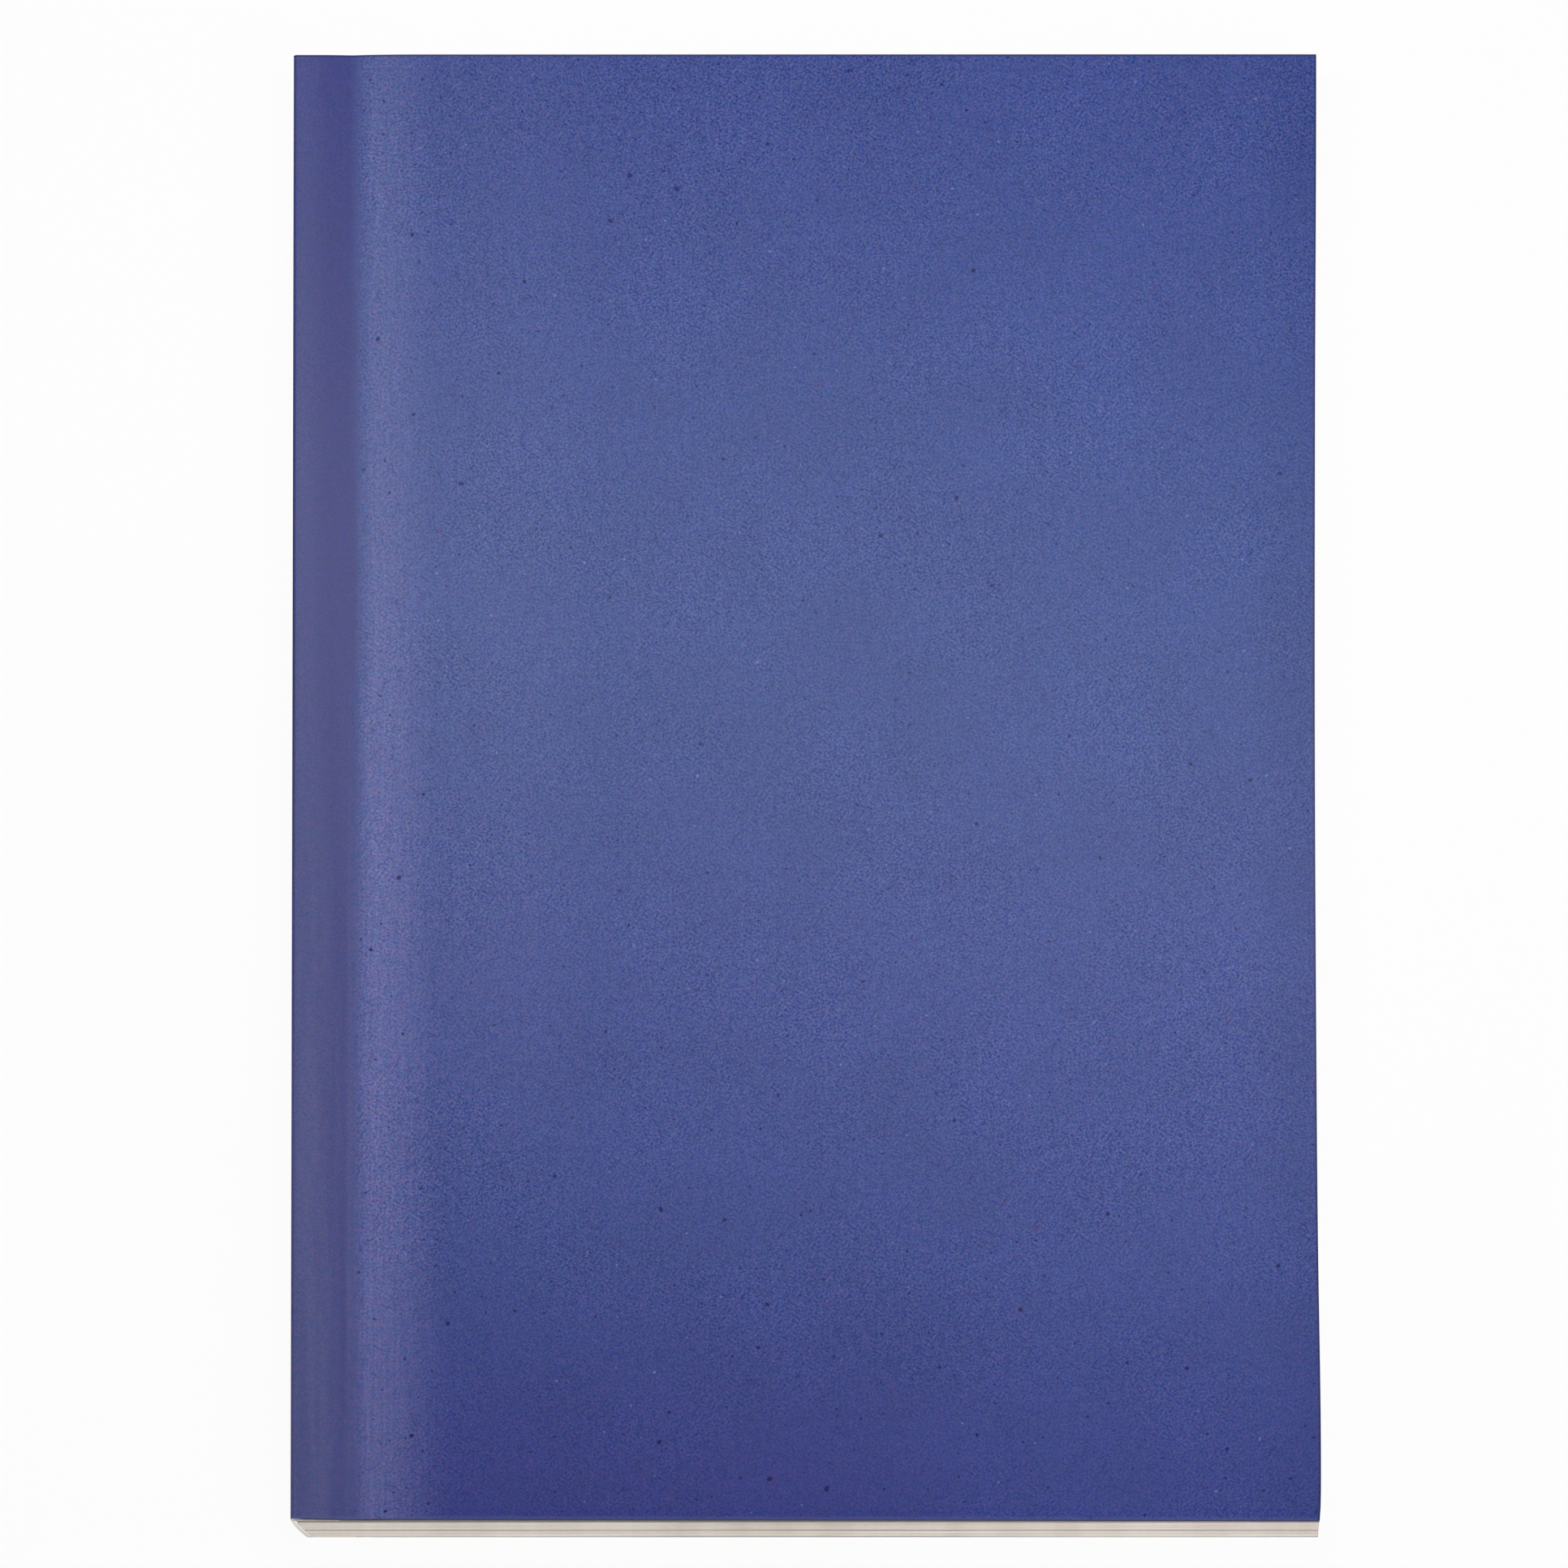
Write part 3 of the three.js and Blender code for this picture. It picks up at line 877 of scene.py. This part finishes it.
def pulp_grain(tree, uv):
    """Mottle of the uncoated card, from single fibres to small clumps."""
    grain = calc(tree, "ADD", turned_grain(tree, uv, *FINE_GRAIN), turned_grain(tree, uv, *CLUMP_GRAIN))
    drawn = add_node(tree, "Mapping", {"Vector": uv, "Scale": DRAWN_STRETCH}).outputs[0]
    grain = calc(tree, "ADD", grain, swing(tree, noise(tree, drawn, DRAWN_SIZE), DRAWN_STRENGTH))
    return calc(tree, "MULTIPLY", grain, ramp(tree, noise(tree, uv, GRAIN_PATCH_SIZE), *GRAIN_PATCHES))


def pulp_tint(tree, uv):
    """The dyed pulp's tint wanders a little, most in red."""
    inputs = {
        "Vector": stretched(tree, uv, PULP_TINT_ANGLE, 1, 1),
        "Scale": 1 / PULP_TINT_SIZE,
        "Detail": PULP_TINT_DETAIL,
        "Roughness": PULP_TINT_ROUGHNESS,
    }
    wander = add_node(tree, "TexNoise", inputs, noise_dimensions="2D").outputs["Color"]
    middle = tuple(1 - amount / 2 for amount in PULP_TINT)
    inputs = {0: wander, 1: PULP_TINT, 2: middle}
    return add_node(tree, "VectorMath", inputs, operation="MULTIPLY_ADD").outputs[0]


def front_share(tree, u):
    """1 on the open front cover, 0 on its hinge strip."""
    return ramp(tree, u, FRONT_SCORE_U + GRAIN_START, FRONT_SCORE_U + GRAIN_FULL)


def crest_share(tree, u):
    """1 on the crest with its rub and painted highlight, fading out over the open front cover."""
    return calc(tree, "MULTIPLY", front_share(tree, u), ramp(tree, u, CREST_RISE_END, CREST_END, 1.0, 0.0))


def grain_strength(tree, u, v):
    """Faint on the glued strips and the spine, calmer on the crest's rub and painted highlight, and towards
    the tail.
    """
    back = ramp(tree, u, BACK_SCORE_U - GRAIN_FULL, BACK_SCORE_U - GRAIN_START, 1.0, 0.0)
    strength = ramp(tree, calc(tree, "MAXIMUM", front_share(tree, u), back), 0, 1, STRIP_GRAIN, 1.0)
    crest_calm_along_spine = ramp(tree, v, CREST_CHANGE_HEAD, CREST_CHANGE_TAIL, CREST_CALM_HEAD, CREST_CALM_TAIL)
    calmer = calc(tree, "MULTIPLY", crest_share(tree, u), crest_calm_along_spine)
    strength = calc(tree, "MULTIPLY", strength, calc(tree, "SUBTRACT", 1.0, calmer))
    return calc(tree, "MULTIPLY", strength, ramp(tree, v, GRAIN_FADE_START, TAIL_Y, 1.0, TAIL_GRAIN))


def bent_uv(tree, uv):
    """The sheet's map with a small wander, so that fibres curl."""
    inputs = {"Vector": uv, "Scale": 1 / FIBRE_CURL_SIZE, "Detail": 1.0}
    wander = add_node(tree, "TexNoise", inputs).outputs["Color"]
    centred = add_node(tree, "VectorMath", {0: wander, 1: (0.5, 0.5, 0.5)}, operation="SUBTRACT").outputs[0]
    small = add_node(tree, "VectorMath", {0: centred, "Scale": FIBRE_CURL}, operation="SCALE").outputs[0]
    return add_node(tree, "VectorMath", {0: uv, 1: small}, operation="ADD").outputs[0]


def with_specks(tree, uv, base, panel):
    """Dark and pale specks caught in the pulp."""
    bent = bent_uv(tree, uv)
    most = ramp(tree, panel, 0, 1, STRIP_SPECKS, 1.0)
    for angle, cell, radius, share, tint, strength in SPECKS:
        dots = spots(tree, stretched(tree, bent, angle, cell, cell), radius / cell, share)
        base = mixed(tree, calc(tree, "MULTIPLY", dots, scaled(tree, most, strength)), base, tint)
    return base


def with_fibres(tree, uv, base, panel):
    """Short dark fibres that lie at several angles, and a few red ones."""
    bent = bent_uv(tree, uv)
    for angle, share, tint, strength in FIBRES:
        vector = stretched(tree, bent, angle, FIBRE_CELL_WIDTH, FIBRE_CELL_LENGTH)
        hairs = spots(tree, vector, FIBRE_HALF_WIDTH / FIBRE_CELL_WIDTH, share)
        base = mixed(tree, calc(tree, "MULTIPLY", hairs, scaled(tree, panel, strength)), base, tint)
    return base


def with_trimmed_lips(tree, u, v, base):
    """Along the tail, rubbed paler with a painted highlight up to a dark cut line that is partly painted
    shade; painted shade along head and fore edges.
    """
    from_tail = calc(tree, "SUBTRACT", v, TAIL_Y)
    from_head = calc(tree, "SUBTRACT", HEAD_Y, v)
    from_front_edge = calc(tree, "SUBTRACT", WIDTH, u)
    from_back_edge = calc(tree, "SUBTRACT", u, BACK_EDGE_U)
    from_fore = calc(tree, "MINIMUM", from_front_edge, from_back_edge)
    pale = ramp(tree, from_tail, PALE_LIP_WIDTH / 3, PALE_LIP_WIDTH, PALE_LIP, 0.0)
    dark = ramp(tree, calc(tree, "MINIMUM", from_head, from_fore), 0, DARK_LIP_WIDTH, DARK_LIP, 0.0)
    base = mixed(tree, pale, base, CARD_LIP_WEAR_AND_HIGHLIGHT)
    base = mixed(tree, dark, base, CARD_LIP_SHADE)
    cut = ramp(tree, from_tail, CUT_LIP_WIDTH / 2, CUT_LIP_WIDTH, 1.0, 0.0)
    return mixed(tree, calc(tree, "MULTIPLY", cut, ramp(tree, u, 0.0, BARE_CORNER)), base, CARD_CUT_AND_SHADE)


def card_material():
    """Outer and inner faces of the card."""
    material, tree, shader = new_material("coloured_card")
    uv, u, v = sheet_uv(tree)
    panel = panel_share(tree, uv, u)
    base = sheet_colour(tree, uv, u, v, panel)
    grain = pulp_grain(tree, uv)
    mottle = calc(tree, "MULTIPLY", grain, grain_strength(tree, u, v))
    contrast = mixed(tree, crest_share(tree, u), GRAIN_CONTRAST, CREST_CONTRAST)
    spread = add_node(tree, "VectorMath", {0: contrast, "Scale": mottle}, operation="SCALE").outputs[0]
    level = add_node(tree, "VectorMath", {0: spread, 1: (1, 1, 1)}, operation="ADD").outputs[0]
    base = mixed(tree, 1.0, base, level, "MULTIPLY")
    base = mixed(tree, 1.0, base, pulp_tint(tree, uv), "MULTIPLY")
    base = with_fibres(tree, uv, base, panel)
    base = with_specks(tree, uv, base, panel)
    base = with_trimmed_lips(tree, u, v, base)
    finish_surface(tree, shader, base, mottle, CARD_SURFACE)
    return material


CARD_CUT_FIBRE_SIZE = 0.35 * MM
CARD_CUT_ROUGHNESS = 0.7  # of the noise


def card_edge_material():
    """Trimmed edges of the card, whose dark colour over the front cover is partly painted shade."""
    material, tree, shader = new_material("cut_card_edge")
    uv, u, _ = sheet_uv(tree)
    fibre = noise(tree, uv, CARD_CUT_FIBRE_SIZE, 3, CARD_CUT_ROUGHNESS)
    base = mixed(tree, ramp(tree, fibre, NOISE_LOW, NOISE_HIGH), CARD_CUT_DARK, CARD_CUT_AND_SHADE)
    base = mixed(tree, ramp(tree, u, BARE_CORNER, 0.0), base, CARD_CUT_PALE)
    finish_surface(tree, shader, base, fibre, CARD_EDGE_SURFACE)
    return material


PAPER_LIGHT = colour(232, 226, 215)
PAPER_WARM = colour(225, 217, 205)
PAPER_CLOUD_SIZE = 2.4 * MM
PAPER_CLOUD_DETAIL, PAPER_CLOUD_ROUGHNESS = 4, 0.65
PAPER_TOOTH_SIZE = 0.4 * MM

RULE_INK = colour(168, 178, 192)
RULE_STRENGTH = 0.8
RULE_PITCH = 7.1 * MM
RULE_WIDTH = 0.14 * MM
RULE_CORE, RULE_RIM = 0.3, 0.7  # half widths of its full and its fading ink, as shares of its width
RULE_TOP_MARGIN = 22 * MM
RULE_TAIL_MARGIN = 12 * MM


def ruling(tree, v):
    """1 on the faint lines across a leaf, 0 between them and on the margins."""
    row = calc(tree, "FRACT", calc(tree, "DIVIDE", v, RULE_PITCH))
    off_line = calc(tree, "ABSOLUTE", calc(tree, "SUBTRACT", row, 0.5))
    width = RULE_WIDTH / RULE_PITCH
    line = ramp(tree, off_line, RULE_CORE * width, RULE_RIM * width, 1.0, 0.0)
    below = calc(tree, "LESS_THAN", v, HEAD_Y - RULE_TOP_MARGIN)
    above = calc(tree, "GREATER_THAN", v, TAIL_Y + RULE_TAIL_MARGIN)
    return calc(tree, "MULTIPLY", line, calc(tree, "MULTIPLY", below, above))


def leaf_material():
    """Faces of the leaves."""
    material, tree, shader = new_material("writing_paper")
    uv, _, v = sheet_uv(tree)
    clouds = noise(tree, uv, PAPER_CLOUD_SIZE, PAPER_CLOUD_DETAIL, PAPER_CLOUD_ROUGHNESS)
    base = mixed(tree, ramp(tree, clouds, NOISE_LOW, NOISE_HIGH), PAPER_LIGHT, PAPER_WARM)
    base = mixed(tree, scaled(tree, ruling(tree, v), RULE_STRENGTH), base, RULE_INK)
    tooth = noise(tree, uv, PAPER_TOOTH_SIZE, 3, ROUGH_NOISE)
    finish_surface(tree, shader, base, tooth, PAPER_SURFACE)
    return material


PAPER_EDGE = colour(241, 233, 227)
PAPER_EDGE_DARK = colour(204, 194, 187)
# Painted shade on the leaves' edges under the card and where gathers of leaves stand back
PAPER_EDGE_SHADE = colour(96, 95, 92)
EDGE_BLOTCH_SIZE = 11 * MM
EDGE_TOOTH_SIZE = 0.25 * MM

# How a leaf's own tone and its painted shade darken its edge: weight beside the blotches, then values from
# and to full painted shade
TONE_WEIGHT = 0.35
DARKENING = (0.25, 1.2)
SHADING = (1.0, 3.0)


def leaf_edge_material():
    """Trimmed edges of the leaves, each with its own tone and painted shade."""
    material, tree, shader = new_material("trimmed_paper_edge")
    uv = add_node(tree, "UVMap", uv_map=SHEET_UV).outputs["UV"]
    tone = add_node(tree, "Attribute", attribute_name=LEAF_TONE_AND_SHADE).outputs["Fac"]
    blotch = noise(tree, uv, EDGE_BLOTCH_SIZE, 3, ROUGH_NOISE)
    dark = calc(tree, "ADD", scaled(tree, tone, TONE_WEIGHT), blotch)
    base = mixed(tree, ramp(tree, dark, *DARKENING), PAPER_EDGE, PAPER_EDGE_DARK)
    base = mixed(tree, ramp(tree, tone, *SHADING), base, PAPER_EDGE_SHADE)
    finish_surface(tree, shader, base, noise(tree, uv, EDGE_TOOTH_SIZE), PAPER_EDGE_SURFACE)
    return material


GLUE_PALE = colour(243, 239, 232)
GLUE_DULL = colour(228, 222, 213)
GLUE_CLOUDS_PER_METRE = 900.0


def glue_material():
    """Set hot melt, a little cloudy."""
    material, tree, shader = new_material("hot_melt")
    where = add_node(tree, "TexCoord").outputs["Object"]
    inputs = {"Vector": where, "Scale": GLUE_CLOUDS_PER_METRE, "Detail": 3.0}
    cloud = add_node(tree, "TexNoise", inputs).outputs["Fac"]
    base = mixed(tree, ramp(tree, cloud, NOISE_LOW, NOISE_HIGH), GLUE_PALE, GLUE_DULL)
    finish_surface(tree, shader, base, cloud, GLUE_SURFACE)
    return material


def dress_adhesives():
    """The glued parts keep the frame's solids and take the glue's material."""
    glue = glue_material()
    for name in ("spine_adhesive", "front_side_glue", "back_side_glue"):
        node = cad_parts[name]
        node.data.materials.clear()
        node.data.materials.append(glue)


# Stage

FLOOR_SIZE = 6.0
FLOOR_DROP = 0.02 * MM
FLOOR_GREY = (0.86, 0.86, 0.86, 1)
FLOOR_ROUGHNESS = 0.9
SEE_THROUGH = 0.95  # how much of the white room the camera sees through the floor


def make_floor():
    """A pale floor that keeps the notebook's shadow and doesn't hide its underside."""
    bm = bmesh.new()
    bmesh.ops.create_grid(bm, x_segments=1, y_segments=1, size=FLOOR_SIZE / 2)
    bmesh.ops.translate(bm, vec=(0, 0, -FLOOR_DROP), verts=bm.verts)
    material, tree, shader = new_material("pale_floor")
    shader.inputs["Base Color"].default_value = FLOOR_GREY
    shader.inputs["Roughness"].default_value = FLOOR_ROUGHNESS
    path = add_node(tree, "LightPath")
    seen = calc(tree, "MAXIMUM", path.outputs["Is Camera Ray"], path.outputs["Is Glossy Ray"])
    seen = calc(tree, "MAXIMUM", seen, path.outputs["Is Transmission Ray"])
    under = add_node(tree, "NewGeometry").outputs["Backfacing"]
    through = calc(tree, "MAXIMUM", calc(tree, "MULTIPLY", seen, SEE_THROUGH), under)
    clear = add_node(tree, "BsdfTransparent").outputs[0]
    mix = add_node(tree, "MixShader", {0: through, 1: shader.outputs[0], 2: clear}).outputs[0]
    tree.links.new(mix, tree.nodes["Material Output"].inputs["Surface"])
    to_piece(bm, "floor", [material])


WORLD_LIGHT = 0.24


def make_world():
    """A white room that gives only a faint light."""
    world = bpy.data.worlds.new("pale_room")
    bpy.context.scene.world = world
    world.use_nodes = True
    tree = world.node_tree
    path = add_node(tree, "LightPath")
    seen = calc(tree, "MAXIMUM", path.outputs["Is Camera Ray"], path.outputs["Is Transmission Ray"])
    background = tree.nodes["Background"]
    background.inputs["Color"].default_value = (1, 1, 1, 1)
    tree.links.new(ramp(tree, seen, 0, 1, WORLD_LIGHT, 1.0), background.inputs["Strength"])


# Lamps: place, aim, width and height, power in watts, turn about its own axis in degrees
LAMPS = {
    "softbox": ((0.0, 0.11, 0.3), (0.0, 0.015, 0), (0.34, 0.06), 0.66, -13),
    "side_fill": ((0.4, -0.25, 0.4), (0.0, 0.0, 0), (0.3, 0.3), 0.6, 0),
    "front_fill": ((0.15, -0.9, 0.075), (0.0, -0.1, 0), (0.8, 0.08), 4.3, 0),
}


def make_lamp(name, place, aim, size, power, turn):
    """A soft rectangular lamp."""
    lamp = bpy.data.lights.new(name, "AREA")
    lamp.shape = "RECTANGLE"
    lamp.size, lamp.size_y = size
    lamp.energy = power
    holder = bpy.data.objects.new(name, lamp)
    bpy.context.scene.collection.objects.link(holder)
    holder.location = place
    holder.rotation_euler = (Vector(aim) - Vector(place)).to_track_quat("-Z", "Y").to_euler()
    holder.rotation_euler.rotate_axis("Z", math.radians(turn))


# The photo's scale, and the pixel where the front cover's middle lies
FRAME_PIXELS = 1932
PIXELS_PER_METRE = 8287
COVER_MIDDLE_PIXEL = (991.4, 966.6)

# The photo's long lens, looking steeply down on the tail edge
ELEVATION = math.radians(72.34)
SENSOR = 36
LENS = 1600
CLIP_START = 0.1


def make_camera():
    """The camera looks from the tail side, where the photo's stood."""
    data = bpy.data.cameras.new("camera")
    data.sensor_width = SENSOR
    data.lens = LENS
    distance = LENS / SENSOR * FRAME_PIXELS / PIXELS_PER_METRE
    data.clip_start = CLIP_START
    data.clip_end = 2 * distance
    holder = bpy.data.objects.new("camera", data)
    bpy.context.scene.collection.objects.link(holder)
    back = Vector((0, -math.cos(ELEVATION), math.sin(ELEVATION)))
    right = (FRAME_PIXELS / 2 - COVER_MIDDLE_PIXEL[0]) / PIXELS_PER_METRE
    up = (COVER_MIDDLE_PIXEL[1] - FRAME_PIXELS / 2) / PIXELS_PER_METRE
    aim = Vector((right, up / math.sin(ELEVATION), PANEL_TOP))
    holder.location = aim + back * distance
    holder.rotation_euler = (-back).to_track_quat("-Z", "Y").to_euler()
    bpy.context.scene.camera = holder


make_camera()
make_cover([card_material(), card_edge_material()])
paper = [leaf_material(), leaf_edge_material()]
make_turning_leaves("front", FRONT_SCORE, paper)
make_turning_leaves("back", BACK_SCORE, paper)
make_sections(paper)
dress_adhesives()
make_floor()
make_world()
for lamp_name, lamp_values in LAMPS.items():
    make_lamp(lamp_name, *lamp_values)
bpy.context.scene.view_settings.view_transform = "Standard"

bpy.context.view_layer.update()
